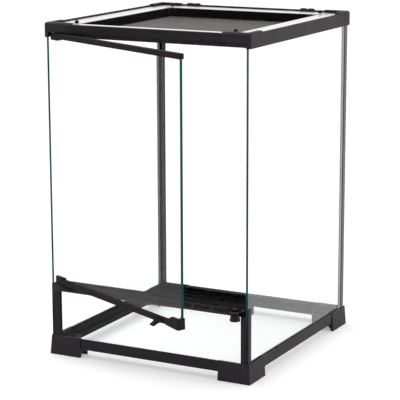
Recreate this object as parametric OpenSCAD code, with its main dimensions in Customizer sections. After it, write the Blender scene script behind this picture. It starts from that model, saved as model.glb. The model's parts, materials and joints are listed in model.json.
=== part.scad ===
// Front-opening glass terrarium: moulded base and top frames, glass walls, one side-hung
// glass door over a vent bar, a lift-out mesh cover held by four turn latches, and four
// cable inlets in the rear top rail. +Z is up and the door faces -Y.

/* [Enclosure] */
// Overall width across the top frame
width = 300; // [280:1:420]
// Overall depth across the top frame
depth = 315; // [280:1:420]
// Overall height to the top of the corner blocks
height = 450; // [380:1:600]
// Thickness of the wall glass
glass_t = 3; // [3:0.5:4]
// Distance from the frame's outer face to the wall glass
glass_in = 3.4; // [3.2:0.1:3.8]
// Gap left round glass in its slots
slot_gap = 0.2; // [0.1:0.05:0.3]

/* [Top frame] */
// Height of the top rails
top_rail_h = 18; // [18:0.5:22]
// Outer wall thickness of the top rails
top_wall = 2.5; // [2:0.1:2.8]
// Width of the flat top band round the cover
band_w = 33; // [31:0.5:38]
// Height of the rim above the silver top band
rim_h = 2.4; // [1:0.1:2.4]
// Thickness of the silver top trim
trim_t = 1.5; // [1:0.1:1.6]
// Height of the door rabbet under the front rail's band
rabbet_h = 6.6; // [6.4:0.1:7]
// Depth of the door rabbet
rabbet_d = 9.6; // [9.4:0.1:11]
// Length of the corner block arms
block_arm = 40; // [40:1:46]
// Width of the raised cap on the corner blocks
block_cap_w = 8; // [6:0.5:10]
// Height of the raised cap above the rails
block_rise = 1.5; // [1:0.1:2]
// Rounding of the corner blocks' upright corner
block_round = 3; // [2.2:0.1:3.2]

/* [Base frame] */
// Height of the feet
foot_h = 26.5; // [26.5:0.5:32]
// Length of the foot arms
foot_arm = 46; // [42:1:54]
// Width of the foot arms
foot_w = 20; // [18:0.5:24]
// Outward flare of the feet from top to bottom
foot_flare = 1.7; // [0.5:0.1:2]
// Wall thickness inside the feet
foot_wall = 2.2; // [1.8:0.1:3]
// Height of the base rails' underside above the ground
base_gap = 11.5; // [10:0.5:12]
// Height of the base rails
base_rail_h = 14.5; // [14:0.5:14.9]
// Thickness of the floor glass
floor_t = 4; // [3:0.5:5]

/* [Posts] */
// Width of the short front posts
post_w = 7; // [6:0.5:9]
// Depth of the short front posts
post_d = 8; // [8:0.1:14]
// Width of the rear posts across the back
rear_post_w = 8.5; // [8.4:0.1:12]
// Depth of the rear posts along the sides
rear_post_d = 14; // [13:0.5:30]
// Rounding of the rear posts' outer corner
rear_post_round = 5; // [2:0.5:5]
// Width of the pale sealing strips beside the rear posts
seal_w = 7; // [3:0.5:10]

/* [Vent bar] */
// Height of the vent bar's top face above the ground
bar_top = 99; // [90:1:130]
// Height of the vent bar
bar_h = 10.3; // [10.3:0.1:14]
// Depth of the vent bar
bar_d = 20; // [18:0.5:26]
// Wall thickness of the vent bar
bar_wall = 2; // [1.6:0.1:2.4]
// Number of slot groups
slot_groups = 9; // [3:1:9]
// Slots in a group
slots_per_group = 8; // [4:1:8]
// Spacing of slots in a group
slot_pitch = 3; // [2.6:0.1:3]
// Width of one slot
slot_w = 1.3; // [0.8:0.1:1.5]
// Height of one slot
slot_h = 5.6; // [4:0.1:6]
// Lean of the slots from upright
slot_lean = 18; // [0:1:25]

/* [Door] */
// Thickness of the door glass
door_glass_t = 4; // [3:0.5:4.5]
// Height of the door's edge rails
door_rail_h = 6.8; // [6:0.1:7]
// Thickness of the door's edge rails
door_rail_d = 7; // [6.6:0.1:7.4]
// Distance from the enclosure's side to the door pivot
pivot_x = 11.2; // [11.2:0.1:13]
// Distance from the enclosure's front to the door pivot
pivot_y = 5; // [4.6:0.1:5.2]
// Clearance above the vent bar and at the free edge
door_gap = 0.8; // [0.6:0.1:1.5]
// Angle at which the door stands open
door_open = 25.2; // [0:0.1:60]
// Radius of the hinge pins
pin_r = 2; // [1.5:0.1:2.2]
// Radial running clearance of pins and stems
run_gap = 0.05; // [0.02:0.01:0.08]
// Length of the wedge handle
handle_l = 31; // [24:1:36]
// Height of the wedge handle
handle_h = 14; // [11:0.5:18]
// How far the handle's thick end stands in front of the rail
handle_out = 4; // [2:0.5:4]
// Rounding of the handle's thick end
handle_round = 1.5; // [1:0.1:2]
// Height of the handle's thin end
handle_low = 6; // [5:0.5:9]
// Length of the hinge blocks along the door
hinge_l = 20; // [12:0.5:26]
// Distance from the door's free edge to the middle of the latch
latch_in = 45.2; // [43:0.1:70]
// Width of the latch lever
lever_w = 7; // [5:0.5:8]
// Angle through which the latch lever is lifted to free it
lever_lift = 13; // [13:0.5:14]
// Length of the latch lever's finger tab
lever_tab = 9; // [5:0.5:10]
// Radius of the latch pin
lever_pin_r = 1; // [0.8:0.1:1.2]

/* [Lock] */
// Distance from the enclosure's right side to the lock spindle
lock_in = 17.5; // [17:0.5:19]
// Distance from the vent bar's front to the lock spindle
lock_out = 8.7; // [8.7:0.1:10]
// Radius of the knob's rim
knob_r = 6.8; // [5:0.1:7.4]
// Height of the knob
knob_h = 10.4; // [9:0.1:14]
// Thickness of the lock boss
boss_t = 3; // [3:0.1:6]

/* [Screen cover] */
// Clearance round the cover
cover_gap = 0.8; // [0.5:0.1:1.2]
// Depth from the cover's top edge to the mesh
cover_deep = 11.2; // [9:0.1:11.2]
// Width of the cover's mesh flange
cover_flange = 8; // [6:0.5:10]
// Wall thickness of the cover
cover_wall = 2; // [1.5:0.1:2.5]
// Thickness of the mesh
mesh_t = 0.6; // [0.4:0.1:0.8]

/* [Turn latches] */
// Distance of a latch from the enclosure's side
latch_x = 34; // [33:0.5:36]
// Distance of a latch from the enclosure's front or back
latch_y = 27; // [24:0.5:28]
// Length of the latch tongue from the knob's middle
latch_l = 11.5; // [10:0.5:14]
// Width of the latch tongue
latch_w = 4; // [3:0.1:5]
// Thickness of the latch tongue
latch_t = 1.2; // [1:0.1:1.6]
// Radius of the latch's ball knob
ball_r = 2.9; // [2.2:0.1:3]
// Height of the ball knob above the band
ball_h = 5.6; // [5:0.1:7]

/* [Cable inlets] */
// Distance from the enclosure's side to the middle of an inlet pair
inlet_in = 60; // [60:1:90]
// Shift of both inlet pairs towards the left
inlet_shift = 4.4; // [0:0.1:4.4]
// Spacing of the two inlets in a pair
inlet_pitch = 11.2; // [11.2:0.1:14]
// Width of one inlet notch
inlet_w = 8.4; // [7:0.1:8.4]
// Width of the shutter's grip
grip_w = 9.6; // [8.6:0.1:10.4]
// Height of the grip above the rail
grip_h = 2; // [1.8:0.1:4]
// Rounding of the grip's upper corners
grip_round = 1.6; // [1:0.1:1.7]

/* [Hidden] */
$fn = 32;
// Overlap used only to cut cleanly through faces
cut = 1;
// Clear gap between parts that sit in each other
fit = 0.2;
// Corner easing of the plastic parts
ease = 0.8;

// Levels of the top frame
rail_top = height - block_rise;
rail_low = rail_top - top_rail_h;
trim_v = top_rail_h - rim_h - trim_t;
shelf_t = 1.5;
shelf_v = trim_v - shelf_t;
flange_t = 1.4;
flange_v = trim_v + trim_t - cover_deep - 2 * mesh_t - 2 * flange_t;
seat_v = flange_v + flange_t;
seat_w = band_w + 5;
slot_in = glass_in - slot_gap;
slot_out = glass_in + glass_t + slot_gap;
rib_t = 2;
side_slot_v = shelf_v - flange_t - 1;
rear_slot_v = seat_v + 1.2;
web_u = 20;
spigot_l = 5;
arm_wall = 2;
cap_arm = block_arm - 4;
cap_chamfer = 2;
seam = 0.1;
ring_r = 4.6;
ring_v = 12.5;
ring_deep = 0.6;

// Levels of the base frame
base_top = base_gap + base_rail_h;
base_face = 1.8;
foot_face = 1.2;
arch_shift = 0.6;
base_wall = slot_in - base_face;
base_web = 2.5;
glass_foot = base_gap + base_web;
floor_z = glass_foot + 4;
base_rail_d = 20;
ledge_t = 1.2;

// Places of the glass, posts and bar
glass_back = glass_in + glass_t;
inner_x = glass_back + slot_gap;
glass_grip = 3;
seal_t = 0.6;
front_y = 1.5;
front_glass_y = front_y + bar_wall + 0.5;
bar_low = bar_top - bar_h;
front_glass_top = bar_low + 1.5;
bar_end = 13;
slot_z = bar_top - bar_wall - slot_h / 2 + 0.3;
slot_step = slots_per_group * slot_pitch + slot_pitch;
window_h = 2.6;
lip_t = 1.6;
tooth_w = 1.7;

// The door in its own frame: pivot at the origin, closed along +X
door_low = bar_top + door_gap;
door_high = rail_low + rabbet_h - door_gap;
door_len = width - inner_x - pivot_x - door_gap - fit;
rail_half = door_rail_d / 2;
latch_at = door_len - latch_in;
hinge_h = 9;
glass_lift = 3.5;
glass_start = 4;
glass_end = 1;
lever_y = -rail_half - 2.2;
lever_z = 2.6;
lever_reach = 7.9;
lever_foot = -2.45;
bracket_t = 1.6;
ear_r = lever_pin_r + 1.2;
handle_nose = 4;
pin_depth = 6;
pin_out = 6;
boss_r = pin_r + 2.5;

// Lock
lock_x = width - lock_in;
lock_y = front_y - lock_out;
spindle_r = 2;
arm_r = lock_in - inner_x + 1.6;
arm_up = 3.2;
arm_t = 2;
knob_top = bar_top - boss_t - 0.3;
knob_rim = 2.2;
boss_w = 2 * knob_r + 1.2;

// Cover
cover_u = band_w + cover_gap;
cover_w = width - 2 * cover_u;
cover_l = depth - 2 * cover_u;
mesh_cells = 12;
mesh_bar = 3;
mitre_gap = 0.05;
clamp_w = 2.2;
clamp_t = 1.2;
key_l = 10;
key_t = 1.5;
cover_top = trim_v + trim_t - 0.3;
mesh_v = seat_v + flange_t + seam;
key_low = mesh_v + mesh_t + fit + clamp_t + seam;

// Shutters
shutter_low = rear_slot_v + flange_t + 0.4;
shutter_t = 1;
cable_hole = 9;

// Middle of the footprint with the door standing open
door_front = pivot_y - (door_len - handle_round) * sin(door_open) - (rail_half + handle_out) * cos(door_open);
back_y = depth + foot_flare - foot_face;
mid_y = (door_front + back_y) / 2;

plastic = [0.13, 0.12, 0.13];
silver = [0.86, 0.87, 0.88];
pale = [0.55, 0.56, 0.56];
clear = [0.75, 0.88, 0.84, 0.35];
steel = [0.7, 0.7, 0.72];

// Moves a shape from the enclosure's front left corner to the part's own origin
module home() {
    translate([-width / 2, -mid_y, 0]) children();
}

// Carries a shape drawn at the front left corner to any corner
module to_corner(right, rear) {
    translate([right ? width : 0, rear ? depth : 0, 0])
        scale([right ? -1 : 1, rear ? -1 : 1, 1]) children();
}

// Extrudes a section drawn as (inward, up) along the front, from x0 to x1
module run_front(x0, x1) {
    translate([x0, 0, 0]) rotate([90, 0, 90]) linear_extrude(x1 - x0) children();
}

// Extrudes a section drawn as (inward, up) along the left side, from y0 to y1
module run_left(y0, y1) {
    translate([0, y1, 0]) rotate([90, 0, 0]) linear_extrude(y1 - y0) children();
}

module bar2d(u0, v0, u1, v1) {
    translate([u0, v0]) square([u1 - u0, v1 - v0]);
}

// ---- Top frame ----

// Parts of the section that every top rail shares: wall, shelf, web and cover seat
module top_core2d(wall_v) {
    difference() {
        bar2d(0, wall_v, top_wall, top_rail_h);
        polygon([[-cut, top_rail_h + cut], [-cut, top_rail_h - ease], [0, top_rail_h - ease],
                 [ease, top_rail_h], [ease, top_rail_h + cut]]);
    }
    bar2d(top_wall - 0.5, shelf_v, band_w - 0.5, shelf_v + shelf_t);
    bar2d(web_u, flange_v, web_u + rib_t, shelf_v + shelf_t / 2);
    bar2d(web_u, flange_v, seat_w, seat_v);
}

// Side rail: deep slot for the side glass
module side_top2d() {
    top_core2d(0);
    bar2d(slot_out, 0, slot_out + rib_t, side_slot_v + flange_t);
    bar2d(top_wall - 0.5, side_slot_v, slot_out + rib_t, side_slot_v + flange_t);
    bar2d(slot_out, flange_v, web_u + 0.5, seat_v);
    bar2d(top_wall - 0.5, 0, slot_in, side_slot_v);
}

// Rear rail: shallow slot, so that cables can pass above the glass
module rear_top2d() {
    top_core2d(0);
    bar2d(slot_out, 0, slot_out + rib_t, rear_slot_v + flange_t);
    bar2d(top_wall - 0.5, rear_slot_v, slot_out + rib_t, rear_slot_v + flange_t);
    bar2d(slot_out, flange_v, web_u + 0.5, seat_v);
    bar2d(top_wall - 0.5, 0, slot_in, rear_slot_v + 0.5);
}

// Front rail: rabbet for the door under the band, and a lip that the door closes against
module front_top2d() {
    top_core2d(rabbet_h);
    bar2d(top_wall - 0.5, rabbet_h, rabbet_d + rib_t, rabbet_h + rib_t);
    bar2d(rabbet_d, 0, rabbet_d + rib_t, rabbet_h + rib_t);
    bar2d(rabbet_d, flange_v, web_u + 0.5, seat_v);
}

// Section of the spigot that a corner block pushes into a rail, beside a rib that ends at u
module spigot2d(u) {
    bar2d(u + 2 * fit, seat_v + fit, web_u - fit, shelf_v - fit);
}

// Wall that closes the end of a block's arm and carries its spigot
module arm_end2d(u) {
    bar2d(u - 0.5, seat_v - 0.5, web_u + 0.5, shelf_v + 0.5);
}

// L-shaped plate over a corner, from u0 to u1 inward on both arms
module corner_plate(u0, u1, arm, v0, v1) {
    translate([0, 0, v0]) linear_extrude(v1 - v0)
        difference() {
            translate([u0, u0]) square(arm - u0);
            translate([u1, u1]) square(arm);
        }
}

// Outer shape of a corner block: rounded upright corner, outer top edge chamfered to the given top
module block_hull(top, chamfer) {
    r = block_round;
    far = block_arm + cut;
    translate([r, r, 0]) rotate_extrude()
        polygon([[0, -cut], [r, -cut], [r, top - chamfer], [r - chamfer, top], [0, top]]);
    run_front(r, far) block_side2d(top, chamfer);
    run_left(r, far) block_side2d(top, chamfer);
}

module block_side2d(top, chamfer) {
    polygon([[0, -cut], [0, top - chamfer], [chamfer, top], [block_arm + cut, top], [block_arm + cut, -cut]]);
}

// Raised cap with chamfered outer edge; on the front blocks it runs over the whole front arm
module corner_cap(rear) {
    intersection() {
        corner_plate(0, block_cap_w, block_arm - seam, trim_v + trim_t + seam, top_rail_h + block_rise);
        block_hull(top_rail_h + block_rise, cap_chamfer);
        cube([rear ? cap_arm : block_arm, cap_arm, height]);
    }
}

// Corner block; "front" arms carry the door rabbet, rear arms the rear glass slot
module top_block(rear, pivot) {
    u_rib = (rear ? slot_out : rabbet_d) + rib_t;
    translate([0, 0, rail_low]) {
        difference() {
            union() {
                corner_cap(rear);
                intersection() {
                    union() {
                        run_left(0, block_arm - seam) side_top2d();
                        if (!rear) run_front(0, block_arm - seam) front_top2d();
                        if (rear) run_front(0, block_arm - seam) rear_top2d();
                        // covers the front edge of the side glass inside the rabbet
                        if (!rear) cube([slot_out, front_y - fit, rabbet_h + rib_t / 2]);
                    }
                    block_hull(top_rail_h, ease);
                }
                translate([block_arm - arm_wall, 0, 0]) run_front(0, arm_wall + spigot_l) spigot2d(u_rib);
                translate([block_arm - arm_wall, 0, 0]) run_front(0, arm_wall - seam) arm_end2d(u_rib);
                translate([0, block_arm - arm_wall, 0]) run_left(0, arm_wall + spigot_l)
                    spigot2d(slot_out + rib_t);
                translate([0, block_arm - arm_wall, 0]) run_left(0, arm_wall - seam) arm_end2d(slot_out + rib_t);
                if (pivot) translate([pivot_x, pivot_y, rabbet_h])
                    cylinder(r = boss_r - 2 * fit, h = shelf_v - rabbet_h + shelf_t / 2);
            }
            // space for the glass and the door beneath the band
            translate([slot_in, rear ? slot_in : front_y - fit, -cut])
                cube([slot_out - slot_in, depth, side_slot_v + cut]);
            if (rear) translate([slot_in, slot_in, -cut])
                cube([width, slot_out - slot_in, rear_slot_v + cut]);
            if (!rear) translate([slot_out, -cut, -cut])
                cube([block_arm, rabbet_d + cut, rabbet_h + cut]);
            if (pivot) translate([pivot_x, pivot_y, rabbet_h - cut]) cylinder(r = pin_r + run_gap, h = pin_out + cut);
            // stem hole of the turn latch
            translate([latch_x, latch_y, shelf_v - cut]) cylinder(r = pin_r + 4 * run_gap, h = shelf_t + 2 * cut);
            // inner corner stays open for the cover
            translate([seat_w, seat_w, -cut]) cube([block_arm, block_arm, top_rail_h]);
            translate([band_w - 0.5, band_w - 0.5, seat_v]) cube([block_arm, block_arm, top_rail_h]);
            if (rear) screw_ring([0, block_arm / 2, ring_v]);
        }
    }
}

// Ring groove round a flush screw plug on a left-hand outer face
module screw_ring(place) {
    translate(place) rotate([0, 90, 0]) difference() {
        translate([0, 0, -cut]) cylinder(r = ring_r, h = cut + ring_deep);
        translate([0, 0, -2 * cut]) cylinder(r = ring_r - 1, h = 3 * cut + ring_deep);
    }
}

module top_rail_front() {
    color(plastic) home() translate([0, 0, rail_low]) run_front(block_arm + seam, width - block_arm - seam) front_top2d();
}

// Notch, shelf slot and floor hole of one cable inlet in the rear rail
module inlet_cut(x) {
    translate([x - inlet_w / 2, -cut, shutter_low - 0.4]) cube([inlet_w, top_wall + 2 * cut, top_rail_h]);
    translate([x - inlet_pitch / 2 - 0.01, top_wall, shelf_v - cut])
        cube([inlet_pitch + 0.02, shutter_t + 3 * fit, top_rail_h]);
    translate([x - inlet_w / 2, slot_out + rib_t + fit, flange_v - cut])
        cube([inlet_w, cable_hole, flange_t + 2 * cut]);
}

function inlet_x(side, k) = width / 2 + side * (width / 2 - inlet_in) - inlet_shift + k * inlet_pitch;

module each_inlet() {
    for (side = [-1, 1])
        for (k = [-0.5, 0.5])
            translate([inlet_x(side, k), 0, 0]) children();
}

module top_rail_rear() {
    color(plastic) home() translate([0, 0, rail_low]) to_corner(false, true) difference() {
        run_front(block_arm + seam, width - block_arm - seam) rear_top2d();
        each_inlet() inlet_cut(0);
    }
}

module top_rail_side(right) {
    color(plastic) home() translate([0, 0, rail_low]) to_corner(right, false)
        run_left(block_arm + seam, depth - block_arm - seam) side_top2d();
}

module top_rail_left() { top_rail_side(false); }
module top_rail_right() { top_rail_side(true); }

module top_block_front_left() { color(plastic) home() to_corner(false, false) top_block(false, true); }
module top_block_front_right() { color(plastic) home() to_corner(true, false) top_block(false, false); }
module top_block_rear_left() { color(plastic) home() to_corner(false, true) top_block(true, false); }
module top_block_rear_right() { color(plastic) home() to_corner(true, true) top_block(true, false); }

// Straight silver plate on the shelf, between two corner blocks
module trim_bar(length) {
    translate([block_arm + seam, top_wall + fit, rail_low + trim_v])
        cube([length - 2 * block_arm - 2 * seam, band_w - top_wall - fit, trim_t]);
}

module trim_front() { color(silver) home() trim_bar(width); }

module trim_rear() {
    color(silver) home() to_corner(false, true) difference() {
        trim_bar(width);
        translate([0, 0, rail_low]) each_inlet() inlet_cut(0);
    }
}

module trim_side(right) {
    color(silver) home() to_corner(right, false) mirror([1, -1, 0]) trim_bar(depth);
}

module trim_left() { trim_side(false); }
module trim_right() { trim_side(true); }

// Silver corner plates on the four blocks, with the bores of the turn latches
module trim_corners() {
    color(silver) home() for (right = [false, true], rear = [false, true])
        to_corner(right, rear) difference() {
            translate([0, 0, rail_low])
                corner_plate(top_wall + fit, band_w, block_arm - seam, trim_v, trim_v + trim_t);
            translate([latch_x, latch_y, rail_low]) cylinder(r = pin_r + run_gap, h = top_rail_h + cut);
        }
}

// ---- Base frame ----

// Section of a base rail whose glass slot starts at u
module base2d(u) {
    slot_end = u + glass_t + 2 * slot_gap;
    bar2d(base_face, base_gap, u, base_top);
    bar2d(base_face, base_gap, base_rail_d, glass_foot);
    bar2d(slot_end, base_gap, slot_end + rib_t, floor_z);
    bar2d(base_rail_d - rib_t, base_gap, base_rail_d, floor_z);
    bar2d(slot_end, floor_z - ledge_t, base_rail_d, floor_z);
}

module base_rail_front() {
    color(plastic) home() run_front(foot_arm, width - foot_arm) base2d(front_glass_y - slot_gap);
}

module base_rail_rear() {
    color(plastic) home() to_corner(false, true) run_front(foot_arm, width - foot_arm) base2d(slot_in);
}

module base_rail_side(right) {
    color(plastic) home() to_corner(right, false) run_left(foot_arm, depth - foot_arm) base2d(slot_in);
}

module base_rail_left() { base_rail_side(false); }
module base_rail_right() { base_rail_side(true); }

// Slanted outer face of a foot, as a section drawn (inward, up)
module flare2d() {
    polygon([[foot_face - foot_flare, 0], [foot_face, foot_h], [foot_arm, foot_h], [foot_arm, 0]]);
}

module foot_body() {
    intersection() {
        run_front(foot_face - foot_flare, foot_arm) flare2d();
        run_left(foot_face - foot_flare, foot_arm) flare2d();
    }
}

// Hollow L-shaped foot: flared skirt, ledges for glass and floor, and spigots into the rails
module foot(rear) {
    far = foot_arm + foot_w;
    difference() {
        union() {
            foot_body();
            translate([foot_arm - 1, 0, 0]) run_front(0, spigot_l + 1)
                foot_spigot2d(rear ? slot_in : front_glass_y - slot_gap);
            translate([0, foot_arm - 1, 0]) run_left(0, spigot_l + 1) foot_spigot2d(slot_in);
        }
        // inside of the L
        translate([foot_w, foot_w, -cut]) cube([far, far, foot_h + 2 * cut]);
        // hollow skirt
        difference() {
            translate([foot_wall, foot_wall, -cut])
                cube([foot_arm - 2 * foot_wall, foot_arm - 2 * foot_wall, base_gap + cut - 0.5]);
            translate([foot_w - foot_wall, foot_w - foot_wall, -2 * cut]) cube([far, far, foot_h]);
        }
        // arches in the end walls
        for (turn = [0, 1])
            mirror([turn, -turn, 0]) translate([foot_arm - foot_wall - cut, foot_w / 2 + arch_shift, 0])
                rotate([0, 90, 0]) cylinder(r = foot_w / 2 - foot_wall - arch_shift, h = foot_wall + 2 * cut);
        // slots for the wall glass, and the well over the floor ledge
        translate([slot_in, rear ? slot_in : front_y - fit, glass_foot])
            cube([slot_out - slot_in, depth, foot_h]);
        translate([rear ? slot_in : slot_out, rear ? slot_in : front_glass_y - slot_gap, glass_foot])
            cube([width, glass_t + 2 * slot_gap, foot_h]);
        translate([slot_out, (rear ? slot_out : front_glass_y + glass_t + slot_gap), floor_z])
            cube([width, depth, foot_h]);
    }
}

// Spigot that fits a base rail whose glass slot starts at u
module foot_spigot2d(u) {
    bar2d(u + glass_t + 2 * slot_gap + rib_t + fit, glass_foot + fit, base_rail_d - rib_t - fit,
          floor_z - ledge_t - fit);
}

module foot_front_left() { color(plastic) home() to_corner(false, false) foot(false); }
module foot_front_right() { color(plastic) home() to_corner(true, false) foot(false); }
module foot_rear_left() { color(plastic) home() to_corner(false, true) foot(true); }
module foot_rear_right() { color(plastic) home() to_corner(true, true) foot(true); }

// ---- Glass ----

module floor_glass() {
    y0 = front_glass_y + glass_t + 2 * slot_gap;
    color(clear) home() translate([inner_x + fit, y0, floor_z])
        cube([width - 2 * inner_x - 2 * fit, depth - y0 - inner_x - fit, floor_t]);
}

module side_glass(right) {
    color(clear) home() to_corner(right, false) translate([glass_in, front_y, glass_foot])
        cube([glass_t, depth - rear_post_d + glass_grip - front_y, rail_low + side_slot_v - fit - glass_foot]);
}

module side_glass_left() { side_glass(false); }
module side_glass_right() { side_glass(true); }

module front_glass() {
    color(clear) home() translate([inner_x + glass_grip, front_glass_y, glass_foot])
        cube([width - 2 * inner_x - 2 * glass_grip, glass_t, front_glass_top - glass_foot]);
}

module rear_glass() {
    color(clear) home() translate([rear_post_w - glass_grip, depth - glass_back, glass_foot])
        cube([width - 2 * rear_post_w + 2 * glass_grip, glass_t, rail_low + rear_slot_v - fit - glass_foot]);
}

// ---- Posts ----

// Short post beside the lower front glass, with a slot for its edge
module front_post(right) {
    color(plastic) home() to_corner(right, false) difference() {
        translate([inner_x, front_y, foot_h]) cube([post_w, post_d, bar_low - foot_h]);
        translate([inner_x + glass_grip - slot_gap, front_glass_y - slot_gap, foot_h - cut])
            cube([post_w, glass_t + 2 * slot_gap, bar_low]);
    }
}

module front_post_left() { front_post(false); }
module front_post_right() { front_post(true); }

// Rear corner post: rounded outside, slots for the side and rear glass
module rear_post(right) {
    inset = base_face + rear_post_round;
    color(plastic) home() to_corner(right, true) translate([0, 0, foot_h]) linear_extrude(rail_low - foot_h)
        difference() {
            union() {
                bar2d(base_face, inset, rear_post_w, rear_post_d);
                bar2d(inset, base_face, rear_post_w, rear_post_d);
                intersection() {
                    translate([inset, inset]) circle(r = rear_post_round);
                    bar2d(base_face, base_face, rear_post_w, rear_post_d);
                }
            }
            bar2d(slot_in, rear_post_d - glass_grip - slot_gap, slot_out, rear_post_d + cut);
            bar2d(rear_post_w - glass_grip - slot_gap, slot_in, rear_post_w + cut, slot_out);
        }
}

module rear_post_left() { rear_post(false); }
module rear_post_right() { rear_post(true); }

// Pale sealing strips on the side glass in front of the rear posts
module post_seals() {
    color(pale) home() for (right = [false, true])
        to_corner(right, true) translate([glass_in - seal_t, rear_post_d + fit, foot_h + fit])
            cube([seal_t, seal_w, rail_low - foot_h - 2 * fit]);
}

// ---- Vent bar ----

module vent_bar2d() {
    back = front_glass_y + glass_t + slot_gap;
    bar2d(front_y, bar_low, front_y + bar_wall, bar_top);
    bar2d(front_y, bar_top - bar_wall, front_y + bar_d, bar_top);
    bar2d(front_y + bar_d - bar_wall, bar_low, front_y + bar_d, bar_top);
    bar2d(back, bar_low, front_y + bar_d, bar_low + lip_t);
    bar2d(back, bar_low, back + lip_t, bar_low + 2 * lip_t);
}

module vent_slot() {
    translate([0, front_y - cut, slot_z]) rotate([-90, 0, 0]) linear_extrude(bar_wall + 2 * cut)
        rotate(slot_lean) square([slot_w, slot_h], center = true);
}

module vent_bar() {
    first = width / 2 - (slot_groups * slot_step - 2 * slot_pitch) / 2;
    color(plastic) home() difference() {
        union() {
            run_front(inner_x, width - inner_x) vent_bar2d();
            for (x = [inner_x, width - inner_x - bar_end])
                translate([x, front_y, bar_low]) cube([bar_end, bar_d, bar_h]);
        }
        for (g = [0 : slot_groups - 1])
            for (s = [0 : slots_per_group - 1])
                translate([first + g * slot_step + s * slot_pitch, 0, 0]) vent_slot();
        // windows behind the slots let the air into the tank
        for (g = [0 : slot_groups - 1])
            translate([first + g * slot_step, front_y + bar_d - bar_wall - cut, bar_top - bar_wall - window_h - fit])
                cube([slot_step - 2 * slot_pitch, bar_wall + 2 * cut, window_h]);
        for (x = [0, width - inner_x - bar_end])
            translate([x, front_glass_y - slot_gap, bar_low - cut])
                cube([inner_x + bar_end, glass_t + 2 * slot_gap, front_glass_top - bar_low + cut + fit]);
        translate([pivot_x, pivot_y, bar_top - pin_out]) cylinder(r = pin_r + run_gap, h = pin_out + cut);
        // hole for the latch's tooth
        translate([pivot_x + latch_at - lever_w / 2 - cut, pivot_y + lever_y + lever_reach - tooth_w - fit,
                   bar_top - bar_wall - cut])
            cube([lever_w + 2 * cut, tooth_w + 5 * fit - 0.1, bar_wall + 2 * cut]);
    }
}

// Boss in front of the bar's right end that carries the lock spindle
module lock_boss() {
    color(plastic) home() difference() {
        union() {
            translate([lock_x, lock_y, bar_top - boss_t]) cylinder(r = boss_w / 2, h = boss_t);
            translate([lock_x - boss_w / 2, lock_y, bar_top - boss_t])
                cube([boss_w, front_y - lock_y, boss_t]);
        }
        translate([lock_x, lock_y, bar_low]) cylinder(r = spindle_r + run_gap, h = bar_h + cut);
    }
}

// ---- Door ----

// Carries a shape from the door's own frame to its place, standing open
module on_door() {
    home() translate([pivot_x, pivot_y, 0]) rotate(-door_open) children();
}

module door_glass() {
    color(clear) on_door() translate([glass_start, -door_glass_t / 2, door_low + glass_lift])
        cube([door_len - glass_end - glass_start, door_glass_t, door_high - door_low - 2 * glass_lift]);
}

// Channel over a glass edge; its slot opens upwards
module door_channel() {
    difference() {
        translate([hinge_l - rail_half, -rail_half, 0]) cube([door_len - hinge_l + rail_half, door_rail_d, door_rail_h]);
        translate([0, -door_glass_t / 2 - seam, glass_lift - fit])
            cube([door_len - glass_end + fit, door_glass_t + 2 * seam, door_rail_h]);
        for (s = [-1, 1])
            translate([0, s * rail_half, 0]) rotate([45, 0, 0]) cube([2 * door_len + 2, ease, ease], center = true);
    }
}

module door_bottom_rail() {
    color(plastic) on_door() translate([0, 0, door_low]) difference() {
        door_channel();
        translate([latch_at - lever_w / 2 - 3 * fit, -door_rail_d, -cut])
            cube([lever_w + 6 * fit, 2 * door_rail_d, glass_lift - fit + cut]);
        // the handle closes this end
        translate([door_len - glass_end, -door_rail_d, -cut]) cube([2 * cut, 2 * door_rail_d, door_rail_h + 2 * cut]);
    }
}

module door_top_rail() {
    color(plastic) on_door() translate([0, 0, door_high]) scale([1, 1, -1]) door_channel();
}

// Block that clamps the glass at the pivot, with a round end and a socket for the pin
module hinge_block() {
    difference() {
        union() {
            cylinder(r = rail_half, h = hinge_h);
            translate([0, -rail_half, 0]) cube([hinge_l - rail_half - seam, door_rail_d, hinge_h]);
        }
        translate([glass_start - fit, -door_glass_t / 2 - seam, glass_lift - fit])
            cube([hinge_l, door_glass_t + 2 * seam, hinge_h]);
        translate([0, 0, -cut]) cylinder(r = pin_r, h = pin_depth + cut);
    }
}

module door_hinge_bottom() { color(plastic) on_door() translate([0, 0, door_low]) hinge_block(); }

module door_hinge_top() {
    color(plastic) on_door() translate([0, 0, door_high]) scale([1, 1, -1]) hinge_block();
}

// The two steel pivots, pressed into the hinge blocks
module hinge_pins() {
    low = bar_top - pin_out + 0.5;
    high = rail_low + rabbet_h + pin_out - 0.5;
    color(steel) on_door() {
        translate([0, 0, low]) cylinder(r = pin_r, h = door_low + pin_depth - low);
        translate([0, 0, door_high - pin_depth]) cylinder(r = pin_r, h = high - door_high + pin_depth);
    }
}

// Wedge handle at the free corner, thickest and tallest at the edge; it closes the rail's end
module door_handle() {
    end_t = glass_end - fit;
    color(plastic) on_door() translate([door_len, 0, door_low]) {
        intersection() {
            linear_extrude(handle_h)
                polygon([[-handle_l, -rail_half], [-handle_l + handle_nose, -rail_half - 1],
                         [-handle_round, -rail_half - handle_out], [0, -rail_half - handle_out + handle_round],
                         [0, -rail_half]]);
            rotate([90, 0, 0]) linear_extrude(rail_half + handle_out + cut)
                polygon([[-handle_l, 0], [0, 0], [0, handle_h - 1], [-1, handle_h], [-handle_l / 2, handle_h],
                         [-handle_l, handle_low]]);
        }
        translate([-end_t, -rail_half - cut, 0]) cube([end_t, door_rail_d + cut, door_rail_h]);
    }
}

// Carries a shape drawn at the latch pin, along the door
module at_lever() {
    on_door() translate([latch_at, lever_y, door_low + lever_z]) children();
}

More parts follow.
